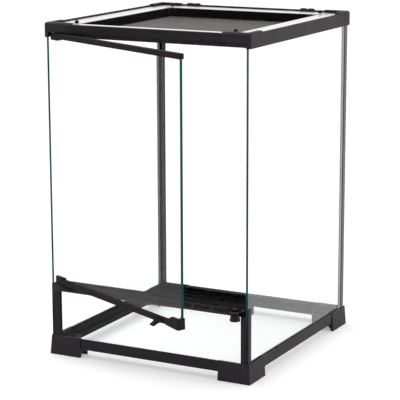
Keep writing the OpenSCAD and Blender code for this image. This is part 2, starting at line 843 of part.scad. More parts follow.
// Two ears on the rail's front that hold the latch pin
module latch_bracket() {
    back = -rail_half - lever_y;
    color(plastic) at_lever() for (side = [-1, 1])
        translate([side * (lever_w + bracket_t + 3 * fit) / 2, 0, 0]) rotate([90, 0, 90]) difference() {
            linear_extrude(bracket_t, center = true) union() {
                circle(r = ear_r);
                translate([0, -ear_r]) square([back, 2 * ear_r]);
            }
            cylinder(r = lever_pin_r, h = 2 * cut + bracket_t, center = true);
        }
}

module latch_pin() {
    color(steel) at_lever() rotate([0, 90, 0]) cylinder(r = lever_pin_r, h = lever_w + 2 * bracket_t + 3 * fit, center = true);
}

// Rocking lever: finger tab in front, arm under the rail, and a tooth that drops into the vent bar
module latch_lever() {
    color(plastic) at_lever() rotate([lever_lift, 0, 0]) rotate([90, 0, 90])
        translate([0, 0, -lever_w / 2]) difference() {
            union() {
                cylinder(r = lever_pin_r + 1.3, h = lever_w);
                linear_extrude(lever_w)
                    polygon([[0, 2 * lever_pin_r], [-lever_tab - 0.6, -1.4], [-lever_tab - 1.2, -2.6],
                             [-lever_tab, -3.6], [-2 * lever_pin_r, lever_foot],
                             [lever_reach - tooth_w, lever_foot], [lever_reach - tooth_w, lever_foot - 2.15],
                             [lever_reach, lever_foot - 2.15], [lever_reach, -1.25], [0, -1.25]]);
            }
            translate([0, 0, -cut]) cylinder(r = lever_pin_r + run_gap, h = lever_w + 2 * cut);
        }
}

// ---- Lock ----

// Bell-shaped knob with a rim at the bottom, on the lock's spindle
module lock_knob() {
    neck = spindle_r + 2 * fit;
    bell_r = knob_r - neck - 2 * fit;
    color(plastic) home() translate([lock_x, lock_y, 0]) {
        translate([0, 0, knob_top - knob_h]) rotate_extrude()
            polygon(concat([[0, knob_rim / 2], [bell_r, knob_rim / 2], [bell_r, 0], [knob_r, 0], [knob_r, knob_rim]],
                           [for (a = [0 : 15 : 75])
                               [neck + bell_r * cos(a), knob_rim + (knob_h - knob_rim) * sin(a)]],
                           [[neck, knob_h], [0, knob_h]]));
        translate([0, 0, knob_top - 1]) cylinder(r = spindle_r, h = bar_top + arm_t - knob_top + 1);
    }
}

// Arm on the spindle; its upright tip stands beside the door, or in front of it when turned
module lock_arm() {
    arm_w = 2.4;
    color(plastic) home() translate([lock_x, lock_y, bar_top + fit]) difference() {
        union() {
            cylinder(r = spindle_r + 1.6, h = arm_t - 2 * fit);
            translate([0, -arm_w / 2, 0]) cube([arm_r, arm_w, arm_t - 2 * fit]);
            translate([arm_r - 2, -arm_w / 2 - 3, 0]) cube([2, arm_w + 3, arm_up]);
        }
        translate([0, 0, -cut]) cylinder(r = spindle_r, h = arm_t + 2 * cut);
    }
}

// ---- Screen cover ----

module cover2d() {
    bar2d(0, seat_v, cover_wall, cover_top);
    bar2d(0, seat_v, cover_flange, seat_v + flange_t);
    bar2d(cover_wall - fit, mesh_v + mesh_t + fit, cover_wall + clamp_w, mesh_v + mesh_t + fit + clamp_t);
}

// One mitred rail of the cover along the front, from corner to corner
module cover_rail(length) {
    intersection() {
        translate([0, 0, rail_low]) run_front(0, length) cover2d();
        linear_extrude(height + cut)
            polygon([[mitre_gap, 0], [length - mitre_gap, 0], [length - seat_w - mitre_gap, seat_w],
                     [seat_w + mitre_gap, seat_w]]);
    }
}

module cover_at() {
    home() translate([cover_u, cover_u, 0]) children();
}

module cover_rail_front() { color(plastic) cover_at() cover_rail(cover_w); }

module cover_rail_rear() {
    color(plastic) cover_at() translate([0, cover_l, 0]) scale([1, -1, 1]) cover_rail(cover_w);
}

module cover_rail_left() {
    color(plastic) cover_at() translate([0, cover_l, 0]) rotate(-90) cover_rail(cover_l);
}

module cover_rail_right() {
    color(plastic) cover_at() translate([cover_w, 0, 0]) rotate(90) cover_rail(cover_l);
}

// Corner keys that hold the mitred cover rails together
module cover_corner_keys() {
    color(plastic) cover_at() for (x = [0, 1], y = [0, 1])
        translate([x * cover_w, y * cover_l, rail_low + key_low]) scale([1 - 2 * x, 1 - 2 * y, 1])
            linear_extrude(cover_top - key_low - fit) difference() {
                translate([cover_wall + seam, cover_wall + seam]) square(key_l);
                translate([cover_wall + seam + key_t, cover_wall + seam + key_t]) square(key_l);
            }
}

// Mesh panel, drawn as a coarse grid
module cover_mesh() {
    u = cover_wall + fit;
    edge = cover_flange - u;
    step_x = (cover_w - 2 * cover_flange + mesh_bar) / mesh_cells;
    step_y = (cover_l - 2 * cover_flange + mesh_bar) / mesh_cells;
    color([0.4, 0.4, 0.4]) cover_at() translate([u, u, rail_low + mesh_v]) linear_extrude(mesh_t) difference() {
        square([cover_w - 2 * u, cover_l - 2 * u]);
        for (i = [0 : mesh_cells - 1], j = [0 : mesh_cells - 1])
            translate([edge + i * step_x, edge + j * step_y]) square([step_x - mesh_bar, step_y - mesh_bar]);
    }
}

// ---- Turn latches ----

// Latch drawn unlocked, its tongue pointing to the enclosure's side
module turn_latch() {
    end = latch_l - latch_w / 2;
    translate([latch_x, latch_y, rail_low + trim_v + trim_t + seam]) {
        cylinder(r = ball_r + 0.3, h = latch_t);
        translate([-end, -latch_w / 2, 0]) cube([end, latch_w, latch_t]);
        translate([-end, 0, 0]) cylinder(r = latch_w / 2, h = latch_t);
        rotate_extrude() polygon(concat([[0, fit]],
            [for (a = [-60 : 15 : 75]) [ball_r * cos(a), ball_h - ball_r + ball_r * sin(a)]],
            [[0, ball_h]]));
        translate([0, 0, -trim_t - shelf_t - 4 * fit]) cylinder(r = pin_r, h = trim_t + shelf_t + 6 * fit);
    }
}

module turn_latch_front_left() { color(plastic) home() to_corner(false, false) turn_latch(); }
module turn_latch_front_right() { color(plastic) home() to_corner(true, false) turn_latch(); }
module turn_latch_rear_left() { color(plastic) home() to_corner(false, true) turn_latch(); }
module turn_latch_rear_right() { color(plastic) home() to_corner(true, true) turn_latch(); }

// ---- Cable inlet shutters ----

// Rounded grip of a shutter, as a section drawn (across, up)
module grip2d() {
    r = grip_round;
    top = grip_h - fit;
    intersection() {
        bar2d(-grip_w / 2, 0, grip_w / 2, top);
        union() {
            bar2d(-grip_w / 2, 0, grip_w / 2, top - r);
            bar2d(-grip_w / 2 + r, 0, grip_w / 2 - r, top);
            for (side = [-1, 1])
                translate([side * (grip_w / 2 - r), top - r]) circle(r = r);
        }
    }
}

// Shutter in the rear wall's notch, with a rounded grip above the rail
module shutter() {
    tongue_w = inlet_w - 2 * fit;
    plate_w = inlet_pitch - 5 * fit;
    inner = top_wall + fit + shutter_t;
    up = top_rail_h - shutter_low + 2 * fit;
    translate([-tongue_w / 2, fit, shutter_low]) cube([tongue_w, top_wall, up]);
    translate([-plate_w / 2, top_wall + fit, shutter_low]) cube([plate_w, shutter_t, up]);
    translate([0, inner, top_rail_h + fit]) rotate([90, 0, 0]) linear_extrude(inner - seam) grip2d();
}

module inlet_shutter(side, k) {
    color(plastic) home() to_corner(false, true)
        translate([inlet_x(side, k), 0, rail_low]) shutter();
}

module inlet_shutter_1() { inlet_shutter(-1, -0.5); }
module inlet_shutter_2() { inlet_shutter(-1, 0.5); }
module inlet_shutter_3() { inlet_shutter(1, -0.5); }
module inlet_shutter_4() { inlet_shutter(1, 0.5); }

foot_front_left();
foot_front_right();
foot_rear_left();
foot_rear_right();
base_rail_front();
base_rail_rear();
base_rail_left();
base_rail_right();
floor_glass();
front_glass();
rear_glass();
side_glass_left();
side_glass_right();
front_post_left();
front_post_right();
rear_post_left();
rear_post_right();
post_seals();
vent_bar();
lock_boss();
top_block_front_left();
top_block_front_right();
top_block_rear_left();
top_block_rear_right();
top_rail_front();
top_rail_rear();
top_rail_left();
top_rail_right();
trim_front();
trim_rear();
trim_left();
trim_right();
trim_corners();
door_glass();
door_top_rail();
door_bottom_rail();
door_hinge_top();
door_hinge_bottom();
hinge_pins();
door_handle();
latch_bracket();
latch_pin();
latch_lever();
lock_knob();
lock_arm();
cover_rail_front();
cover_rail_rear();
cover_rail_left();
cover_rail_right();
cover_corner_keys();
cover_mesh();
turn_latch_front_left();
turn_latch_front_right();
turn_latch_rear_left();
turn_latch_rear_right();
inlet_shutter_1();
inlet_shutter_2();
inlet_shutter_3();
inlet_shutter_4();
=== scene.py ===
import json
import math

import bmesh
import bpy
from mathutils import Matrix, Vector


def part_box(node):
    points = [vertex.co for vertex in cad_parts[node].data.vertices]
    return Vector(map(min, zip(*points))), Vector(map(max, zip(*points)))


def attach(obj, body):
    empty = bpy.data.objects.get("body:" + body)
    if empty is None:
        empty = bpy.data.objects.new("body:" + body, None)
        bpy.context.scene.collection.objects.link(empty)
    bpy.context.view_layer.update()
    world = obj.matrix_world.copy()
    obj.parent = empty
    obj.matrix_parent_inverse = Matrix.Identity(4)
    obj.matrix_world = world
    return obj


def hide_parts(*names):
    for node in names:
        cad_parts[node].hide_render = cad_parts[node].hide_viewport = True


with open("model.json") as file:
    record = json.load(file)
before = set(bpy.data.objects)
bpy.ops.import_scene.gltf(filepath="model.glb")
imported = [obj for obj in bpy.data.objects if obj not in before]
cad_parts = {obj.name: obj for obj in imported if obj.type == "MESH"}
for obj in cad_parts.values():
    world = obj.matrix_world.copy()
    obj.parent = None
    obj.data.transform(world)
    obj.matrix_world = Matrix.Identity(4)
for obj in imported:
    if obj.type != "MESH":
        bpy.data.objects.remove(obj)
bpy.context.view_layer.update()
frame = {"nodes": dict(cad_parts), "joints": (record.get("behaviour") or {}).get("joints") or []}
nodes = frame["nodes"]
MM = 0.001

# ---- Base frame ----
# Four corner feet and four base rails in black moulded plastic with a fine satin grain and a
# painted highlight along the edges. The rear and left rails are matter, and their colour is a
# little darker as painted shade, as the photo shows them darker.

BLACK_SHEEN = (1.0, 0.86, 0.94)
GRAIN_DEPTH = 0.1 * MM
CORNERS = ("front_left", "front_right", "rear_left", "rear_right")
SIDES = ("front", "rear", "left", "right")


def feed(tree, value, socket):
    """Sets a number or a colour on the socket, or links another socket to it."""
    if isinstance(value, (int, float, tuple)):
        socket.default_value = value
    else:
        tree.links.new(value, socket)


def math_value(tree, operation, a, b):
    node = tree.nodes.new("ShaderNodeMath")
    node.operation = operation
    feed(tree, a, node.inputs[0])
    feed(tree, b, node.inputs[1])
    return node.outputs[0]


def scaled(tree, value, amount, base):
    """The value times amount, plus base."""
    return math_value(tree, "ADD", math_value(tree, "MULTIPLY", value, amount), base)


def colour_mix(tree, factor, first, second):
    """Blends from the first colour at 0 to the second at 1."""
    mix = tree.nodes.new("ShaderNodeMix")
    mix.data_type = "RGBA"
    feed(tree, factor, mix.inputs[0])
    feed(tree, first, mix.inputs[6])
    feed(tree, second, mix.inputs[7])
    return mix.outputs[2]


def colour_level(tree, colour, level):
    """The colour, made lighter or darker by the factor level."""
    shade = tree.nodes.new("ShaderNodeHueSaturation")
    feed(tree, colour, shade.inputs["Color"])
    feed(tree, level, shade.inputs["Value"])
    return shade.outputs["Color"]


def object_place(tree):
    return tree.nodes.new("ShaderNodeTexCoord").outputs["Object"]


def stretched_place(tree, scale):
    stretch = tree.nodes.new("ShaderNodeMapping")
    stretch.inputs["Scale"].default_value = scale
    feed(tree, object_place(tree), stretch.inputs["Vector"])
    return stretch.outputs["Vector"]


def part_of_vector(tree, vector, axis):
    split = tree.nodes.new("ShaderNodeSeparateXYZ")
    feed(tree, vector, split.inputs[0])
    return split.outputs[axis]


def noise(tree, vector, scale, detail, roughness):
    node = tree.nodes.new("ShaderNodeTexNoise")
    node.inputs["Detail"].default_value = detail
    node.inputs["Roughness"].default_value = roughness
    feed(tree, vector, node.inputs["Vector"])
    feed(tree, scale, node.inputs["Scale"])
    return node.outputs["Fac"]


def new_group(name, inputs, outputs):
    """A shader group, with its input and output sockets as seen from inside."""
    tree = bpy.data.node_groups.new(name, "ShaderNodeTree")
    for label, kind, value in inputs:
        socket = tree.interface.new_socket(name=label, in_out="INPUT", socket_type=kind)
        socket.default_value = value
    for label, kind in outputs:
        tree.interface.new_socket(name=label, in_out="OUTPUT", socket_type=kind)
    given = tree.nodes.new("NodeGroupInput").outputs
    return tree, given, tree.nodes.new("NodeGroupOutput").inputs


def new_material(name):
    material = bpy.data.materials.new(name)
    material.use_nodes = True
    tree = material.node_tree
    return material, tree, tree.nodes["Principled BSDF"]


def new_object(name, data):
    thing = bpy.data.objects.new(name, data)
    bpy.context.scene.collection.objects.link(thing)
    return thing


def make_moulded_texture():
    """Fine moulded grain, soft clouds of gloss, and painted highlights on the smoother edges."""
    tree, given, out = new_group(
        "moulded_grain_and_highlight",
        [
            ("Colour", "NodeSocketColor", (0.012, 0.010, 0.012, 1)),
            ("Edge Highlight Colour", "NodeSocketColor", (0.05, 0.048, 0.05, 1)),
            ("Roughness", "NodeSocketFloat", 0.45),
            ("Grain Scale", "NodeSocketFloat", 900.0),
            ("Edge Width", "NodeSocketFloat", 0.0006),
            ("Edge Highlight Strength", "NodeSocketFloat", 0.6),
        ],
        [
            ("Colour", "NodeSocketColor"),
            ("Roughness", "NodeSocketFloat"),
            ("Height", "NodeSocketFloat"),
            ("Normal", "NodeSocketVector"),
        ],
    )
    cloud_scale, edge_gain = 22.0, 6.0
    gloss_swing, edge_polish = 0.22, 0.15
    place = object_place(tree)
    grain = noise(tree, place, given["Grain Scale"], 3.0, 0.6)
    cloud = noise(tree, place, cloud_scale, 3.0, 0.55)
    bevel = tree.nodes.new("ShaderNodeBevel")
    bevel.samples = 4
    feed(tree, given["Edge Width"], bevel.inputs["Radius"])
    facing = tree.nodes.new("ShaderNodeVectorMath")
    facing.operation = "DOT_PRODUCT"
    feed(tree, bevel.outputs["Normal"], facing.inputs[0])
    feed(tree, tree.nodes.new("ShaderNodeNewGeometry").outputs["Normal"], facing.inputs[1])
    turned = math_value(tree, "SUBTRACT", 1.0, facing.outputs["Value"])
    edge = math_value(tree, "MULTIPLY", turned, edge_gain)
    edge = math_value(tree, "MINIMUM", edge, 1.0)
    edge = math_value(tree, "MULTIPLY", edge, cloud)
    edge = math_value(tree, "MULTIPLY", edge, given["Edge Highlight Strength"])
    lift = scaled(tree, math_value(tree, "ADD", grain, cloud), 0.5, 0.5)
    body_colour = colour_level(tree, given["Colour"], lift)
    # Painted highlight: the paler edge colour is mixed in along the edges, within the clouds.
    feed(tree, colour_mix(tree, edge, body_colour, given["Edge Highlight Colour"]), out["Colour"])
    swing = math_value(tree, "MULTIPLY", math_value(tree, "SUBTRACT", cloud, 0.5), gloss_swing)
    rough = math_value(tree, "ADD", given["Roughness"], swing)
    polish = math_value(tree, "MULTIPLY", edge, edge_polish)
    feed(tree, math_value(tree, "SUBTRACT", rough, polish), out["Roughness"])
    feed(tree, grain, out["Height"])
    feed(tree, bevel.outputs["Normal"], out["Normal"])
    return tree


moulded_grain_and_highlight = make_moulded_texture()


# The edge colour, with its strength and width, paints a highlight along the part's edges.
def moulded_plastic(name, colour, edge_highlight_colour, roughness, specular, grain_scale=900.0, bump=0.25,
                    edge_highlight_strength=0.6, edge_width=0.6 * MM, sheen=BLACK_SHEEN):
    material, tree, shader = new_material(name)
    surface = tree.nodes.new("ShaderNodeGroup")
    surface.node_tree = moulded_grain_and_highlight
    surface.inputs["Colour"].default_value = (*colour, 1)
    surface.inputs["Edge Highlight Colour"].default_value = (*edge_highlight_colour, 1)
    surface.inputs["Roughness"].default_value = roughness
    surface.inputs["Grain Scale"].default_value = grain_scale
    surface.inputs["Edge Width"].default_value = edge_width
    surface.inputs["Edge Highlight Strength"].default_value = edge_highlight_strength
    relief = tree.nodes.new("ShaderNodeBump")
    relief.inputs["Strength"].default_value = bump
    relief.inputs["Distance"].default_value = GRAIN_DEPTH
    feed(tree, surface.outputs["Height"], relief.inputs["Height"])
    feed(tree, surface.outputs["Normal"], relief.inputs["Normal"])
    feed(tree, surface.outputs["Colour"], shader.inputs["Base Color"])
    feed(tree, surface.outputs["Roughness"], shader.inputs["Roughness"])
    feed(tree, relief.outputs["Normal"], shader.inputs["Normal"])
    shader.inputs["Specular IOR Level"].default_value = specular
    shader.inputs["Specular Tint"].default_value = (*sheen, 1)
    return material


def finish_node(name, material):
    for slot in nodes[name].material_slots:
        slot.material = material


foot_plastic = moulded_plastic(
    "foot_plastic", (0.0110, 0.0080, 0.0100), (0.050, 0.044, 0.049), 0.52, 0.26)
rail_plastic = moulded_plastic(
    "rail_plastic", (0.0095, 0.0072, 0.0090), (0.045, 0.040, 0.044), 0.48, 0.22, 1400.0, 0.12)
# The rear and left rails take a duller copy of the rail plastic whose colour is a little darker as
# painted shade.
shaded_ledge_plastic = moulded_plastic(
    "shaded_ledge_plastic", (0.0075, 0.0060, 0.0070), (0.03, 0.027, 0.03), 0.85, 0.02, 1200.0, 0.15)
for corner in CORNERS:
    finish_node("foot_" + corner, foot_plastic)
for side in ("front", "right"):
    finish_node("base_rail_" + side, rail_plastic)
for side in ("rear", "left"):
    finish_node("base_rail_" + side, shaded_ledge_plastic)

# ---- Glass ----
# Floor, front, rear and side panes, clear on their faces and green round their edges. The edges
# carry paler painted highlight bands and painted shade that darkens them low down. The floor and
# front panes have a low index, or the white studio would veil the black parts behind them.

EDGE_ARRIS = 0.15 * MM
EDGE_SHADE_FADE = 25 * MM
# Painted shade for the pane edges low down, and the paler green as a painted highlight.
EDGE_SHADE_COLOUR = (0.006, 0.012, 0.012, 1)
EDGE_GREEN_AND_HIGHLIGHT = ((0.0005, 0.052, 0.042, 1), (0.003, 0.120, 0.092, 1))
DOOR_SHADE_RISE = 30 * MM
PANE_SHADOW = (0.985, 0.992, 0.99, 1)
FACE_SHARE = 0.6
SAME_WAY = 0.9


def make_pane_film():
    """Faint dust and wiped streaks on a pane, drawn over the whole face."""
    tree, given, out = new_group(
        "pane_film",
        [
            ("Roughness", "NodeSocketFloat", 0.004),
            ("Tint", "NodeSocketColor", (0.99, 1.0, 0.996, 1)),
        ],
        [("Colour", "NodeSocketColor"), ("Roughness", "NodeSocketFloat")],
    )
    film = noise(tree, object_place(tree), 9.0, 4.0, 0.6)
    feed(tree, scaled(tree, film, 0.004, given["Roughness"]), out["Roughness"])
    feed(tree, colour_level(tree, given["Tint"], scaled(tree, film, 0.01, 0.992)), out["Colour"])
    return tree


pane_film = make_pane_film()


def clear_pane(name, tint, ior):
    """Clear glass that lets lamp light through to what stands behind it."""
    material, tree, shader = new_material(name)
    film = tree.nodes.new("ShaderNodeGroup")
    film.node_tree = pane_film
    film.inputs["Tint"].default_value = (*tint, 1)
    feed(tree, film.outputs["Colour"], shader.inputs["Base Color"])
    feed(tree, film.outputs["Roughness"], shader.inputs["Roughness"])
    shader.inputs["Transmission Weight"].default_value = 1.0
    shader.inputs["IOR"].default_value = ior
    passing = tree.nodes.new("ShaderNodeBsdfTransparent")
    passing.inputs["Color"].default_value = PANE_SHADOW
    rays = tree.nodes.new("ShaderNodeLightPath")
    blend = tree.nodes.new("ShaderNodeMixShader")
    feed(tree, rays.outputs["Is Shadow Ray"], blend.inputs[0])
    feed(tree, shader.outputs["BSDF"], blend.inputs[1])
    feed(tree, passing.outputs["BSDF"], blend.inputs[2])
    feed(tree, blend.outputs["Shader"], tree.nodes["Material Output"].inputs["Surface"])
    return material


def glass_edge(name, shade_top):
    """Pane edge: green with painted highlight bands, painted near-black shade below a given
    height.
    """
    material, tree, shader = new_material(name)
    highlight_bands = noise(tree, stretched_place(tree, (260.0, 260.0, 6.0)), 1.0, 3.0, 0.6)
    ramp = tree.nodes.new("ShaderNodeValToRGB")
    for element, position, colour in zip(ramp.color_ramp.elements, (0.35, 0.75), EDGE_GREEN_AND_HIGHLIGHT):
        element.position = position
        element.color = colour
    feed(tree, highlight_bands, ramp.inputs["Fac"])
    fade = tree.nodes.new("ShaderNodeMapRange")
    fade.inputs["From Min"].default_value = shade_top - EDGE_SHADE_FADE
    fade.inputs["From Max"].default_value = shade_top
    feed(tree, part_of_vector(tree, object_place(tree), "Z"), fade.inputs["Value"])
    colour = colour_mix(tree, fade.outputs["Result"], EDGE_SHADE_COLOUR, ramp.outputs["Color"])
    feed(tree, colour, shader.inputs["Base Color"])
    feed(tree, scaled(tree, highlight_bands, 0.2, 0.3), shader.inputs["Roughness"])
    shader.inputs["Specular IOR Level"].default_value = 0.1
    return material


bar_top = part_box("vent_bar")[1][2]
pane_clear = clear_pane("pane_clear", (0.992, 1.0, 0.997), 1.36)
pane_front = clear_pane("pane_front", (0.995, 1.0, 0.998), 1.18)
pane_floor = clear_pane("pane_floor", (0.997, 1.0, 0.999), 1.012)
pane_edge = glass_edge("pane_edge", bar_top)


def glass_pane(node, body, face_glass, edge_glass=pane_edge, clear_toward=None):
    """The node's pane with small arrises. The edge that looks along clear_toward stays clear."""
    source = nodes[node]
    mesh = bpy.data.meshes.new("pane_" + node)
    form = bmesh.new()
    form.from_mesh(source.data)
    form.transform(source.matrix_world)
    bmesh.ops.remove_doubles(form, verts=form.verts, dist=1e-6)
    bmesh.ops.dissolve_limit(form, angle_limit=0.01, verts=form.verts, edges=form.edges)
    widest = max(face.calc_area() for face in form.faces)
    bmesh.ops.bevel(form, geom=list(form.edges), offset=EDGE_ARRIS, segments=1,
                    affect="EDGES", profile=0.5)
    for face in form.faces:
        face.material_index = 0 if face.calc_area() > FACE_SHARE * widest else 1
    bmesh.ops.recalc_face_normals(form, faces=form.faces)
    if clear_toward:
        for face in form.faces:
            if face.normal.dot(clear_toward) > SAME_WAY:
                face.material_index = 0
    form.to_mesh(mesh)
    form.free()
    mesh.materials.append(face_glass)
    mesh.materials.append(edge_glass)
    pane = new_object("pane_" + node, mesh)
    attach(pane, body)
    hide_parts(node)


for wall in ("rear_glass", "side_glass_left", "side_glass_right"):
    glass_pane(wall, "enclosure", pane_clear)
glass_pane("front_glass", "enclosure", pane_front)
glass_pane("floor_glass", "enclosure", pane_floor)

# ---- Posts and vent bar ----
# Two short posts hold the lower front glass, with thin covers over the side glass beside them.
# Two rounded, shinier posts with pale sealing strips stand at the rear corners, and the slotted
# vent bar caps the lower glass.

POST_GLOSS = {"left": 0.1, "right": 0.8}
SLOT_REACH = 12.0 * MM
TOP_SHADE_SHARE = 0.2
HOLLOW_POWER = 4.0
COVER_T = 0.9 * MM
COVER_DEEP = 8.5 * MM
COVER_ROUND = 0.35 * MM

bar_plastic = moulded_plastic(
    "bar_plastic", (0.0500, 0.0385, 0.0450), (0.05, 0.044, 0.049), 0.85, 0.03, 1200.0, 0.15)
seal_strip = moulded_plastic(
    "seal_strip", (0.30, 0.31, 0.31), (0.40, 0.41, 0.41), 0.5, 0.4, 600.0, 0.1,
    edge_highlight_strength=0.4, sheen=(1.0, 1.0, 1.0))


def shade_hollows(material, reach, top_shade_share):
    """Painted shade: darkens slots and corners, and upward faces down to the given share."""
    tree = material.node_tree
    colour = tree.nodes["Principled BSDF"].inputs["Base Color"]
    plain = colour.links[0].from_socket
    hollow = tree.nodes.new("ShaderNodeAmbientOcclusion")
    hollow.inputs["Distance"].default_value = reach
    normal = tree.nodes.new("ShaderNodeNewGeometry").outputs["Normal"]
    upward = math_value(tree, "MAXIMUM", part_of_vector(tree, normal, "Z"), 0.0)
    dimmed = math_value(tree, "MULTIPLY", upward, 1.0 - top_shade_share)
    topside = math_value(tree, "SUBTRACT", 1.0, dimmed)
    open_share = math_value(tree, "POWER", hollow.outputs["AO"], HOLLOW_POWER)
    level = math_value(tree, "MULTIPLY", topside, open_share)
    feed(tree, colour_level(tree, plain, level), colour)


def moulded_block(name, corners, height, edge_round, body, material):
    """A rounded block with the plan given by corners and the heights (low, high)."""
    form = bmesh.new()
    plan = form.faces.new([form.verts.new((x, y, height[0])) for x, y in corners])
    raised = bmesh.ops.extrude_face_region(form, geom=[plan])["geom"]
    lifted = [item for item in raised if isinstance(item, bmesh.types.BMVert)]
    bmesh.ops.translate(form, verts=lifted, vec=(0, 0, height[1] - height[0]))
    bmesh.ops.recalc_face_normals(form, faces=form.faces)
    bmesh.ops.bevel(form, geom=list(form.edges), offset=edge_round, segments=2,
                    affect="EDGES", profile=0.5)
    mesh = bpy.data.meshes.new(name)
    form.to_mesh(mesh)
    form.free()
    mesh.materials.append(material)
    block = new_object(name, mesh)
    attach(block, body)


# Painted shade in the slots, corners and top faces of the bar plastic.
shade_hollows(bar_plastic, SLOT_REACH, TOP_SHADE_SHARE)
finish_node("vent_bar", bar_plastic)
finish_node("lock_boss", bar_plastic)
finish_node("post_seals", seal_strip)
foot_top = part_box("foot_front_right")[1][2]
for side, outward in (("left", -1), ("right", 1)):
    finish_node("front_post_" + side, rail_plastic)
    post_plastic = moulded_plastic(
        "post_plastic_" + side, (0.009, 0.0075, 0.0090), (0.05, 0.045, 0.049), 0.26,
        POST_GLOSS[side], 1400.0, 0.06)
    finish_node("rear_post_" + side, post_plastic)
    pane_low, pane_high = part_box("side_glass_" + side)
    inner_x = pane_high[0] if outward > 0 else pane_low[0]
    outer_x = inner_x + outward * COVER_T
    front_y = pane_low[1]
    back_y = front_y + COVER_DEEP
    plan = [(inner_x, front_y), (outer_x, front_y), (outer_x, back_y), (inner_x, back_y)]
    moulded_block("post_cover_" + side, plan, (foot_top, bar_top), COVER_ROUND, "enclosure",
                  foot_plastic)

# ---- Top frame ----
# The corner blocks share the feet's plastic and the rails between them are a little smoother.
# The flat band round the cover is satin silver: straight plates and slightly duller corners.

SILVER = (0.86, 0.86, 0.86)
DULL_SILVER = (0.74, 0.735, 0.725)


def satin_metal(name, colour, roughness, streak, metallic=1.0):
    """Metal with faint lines. A large streak scale along an axis makes them fine that way."""
    material, tree, shader = new_material(name)
    lines = noise(tree, stretched_place(tree, streak), 1.0, 4.0, 0.65)
    shade = colour_level(tree, (*colour, 1), scaled(tree, lines, 0.14, 0.93))
    feed(tree, shade, shader.inputs["Base Color"])
    feed(tree, scaled(tree, lines, 0.16, roughness), shader.inputs["Roughness"])
    relief = tree.nodes.new("ShaderNodeBump")
    relief.inputs["Strength"].default_value = 0.05
    relief.inputs["Distance"].default_value = GRAIN_DEPTH
    feed(tree, lines, relief.inputs["Height"])
    feed(tree, relief.outputs["Normal"], shader.inputs["Normal"])
    shader.inputs["Metallic"].default_value = metallic
    return material


for corner in CORNERS:
    finish_node("top_block_" + corner, foot_plastic)
for side in SIDES:
    finish_node("top_rail_" + side, rail_plastic)
trim_along_x = satin_metal("trim_along_x", SILVER, 0.3, (12.0, 700.0, 700.0))
trim_along_y = satin_metal("trim_along_y", SILVER, 0.3, (700.0, 12.0, 700.0))
for side in ("front", "rear"):
    finish_node("trim_" + side, trim_along_x)
for side in ("left", "right"):
    finish_node("trim_" + side, trim_along_y)
trim_corner = satin_metal("trim_corner", DULL_SILVER, 0.34, (260.0, 260.0, 260.0))
finish_node("trim_corners", trim_corner)

# ---- Door ----
# One pane between two black edge rails, with hinge blocks on bright pins, a small lever, and a
# wedge handle at the free corner whose end block grips the glass. The hinge edge is clear.

HANDLE_END = 7.0 * MM
HANDLE_ROUND = 0.5 * MM
GLASS_PLAY = 0.2 * MM

door_joint = next(joint for joint in frame["joints"] if joint["name"] == "door_swing")
open_angle = math.radians(door_joint["range_deg"][1])
door_along = Vector((math.cos(open_angle), -math.sin(open_angle), 0))
door_across = Vector((math.sin(open_angle), math.cos(open_angle), 0))
# The door edge's painted shade reaches a little higher than on the fixed panes.
door_edge = glass_edge("door_edge", bar_top + DOOR_SHADE_RISE)
glass_pane("door_glass", "door", pane_front, door_edge, -door_along)
door_plastic = moulded_plastic(
    "door_plastic", (0.0135, 0.0092, 0.0112), (0.045, 0.039, 0.043), 0.6, 0.09, 1100.0, 0.15)
steel = satin_metal("bright_steel", (0.62, 0.62, 0.64), 0.18, (900.0, 900.0, 900.0))
for part in ("door_top_rail", "door_bottom_rail", "door_hinge_top", "door_hinge_bottom",
             "door_handle", "latch_bracket", "latch_lever"):
    finish_node(part, door_plastic)
for part in ("hinge_pins", "latch_pin"):
    finish_node(part, steel)


def door_reach(node, axis):
    """How far the node reaches along one of the door's own axes."""
    places = [axis.dot(vertex.co) for vertex in nodes[node].data.vertices]
    return min(places), max(places)


end_far = door_reach("door_handle", door_along)[1]
end_near = end_far - HANDLE_END
slot_far = door_reach("door_glass", door_along)[1] + GLASS_PLAY
rail_front, rail_back = door_reach("door_bottom_rail", door_across)
glass_front, glass_back = door_reach("door_glass", door_across)
slot_front, slot_back = glass_front - GLASS_PLAY, glass_back + GLASS_PLAY
end_plan = [
    (end_near, rail_front), (end_far, rail_front), (end_far, rail_back), (end_near, rail_back),
    (end_near, slot_back), (slot_far, slot_back), (slot_far, slot_front), (end_near, slot_front),
]
end_corners = [(door_along * along + door_across * depth).xy for along, depth in end_plan]
end_heights = (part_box("door_bottom_rail")[1][2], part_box("door_handle")[1][2])
moulded_block("handle_end", end_corners, end_heights, HANDLE_ROUND, "door", door_plastic)

# ---- Lock ----
# A bell-shaped knob under a boss at the bar's right end turns a small arm on top of the bar.
# The knob is glossy black and the arm is dull like the bar.

knob_plastic = moulded_plastic(
    "knob_plastic", (0.004, 0.004, 0.0045), (0.05, 0.05, 0.055), 0.12, 0.2, 500.0, 0.02,
    edge_highlight_strength=0.5, edge_width=0.5 * MM)
finish_node("lock_knob", knob_plastic)
finish_node("lock_arm", bar_plastic)

# ---- Screen cover ----
# Four mitred black rails round a fine dark wire screen that lies on their flange. The wires are
# drawn one by one in two layers, which together are as thick as the screen's plate in CAD.

WIRE_PITCH = 1.25 * MM
WIRE_SIDES = 6


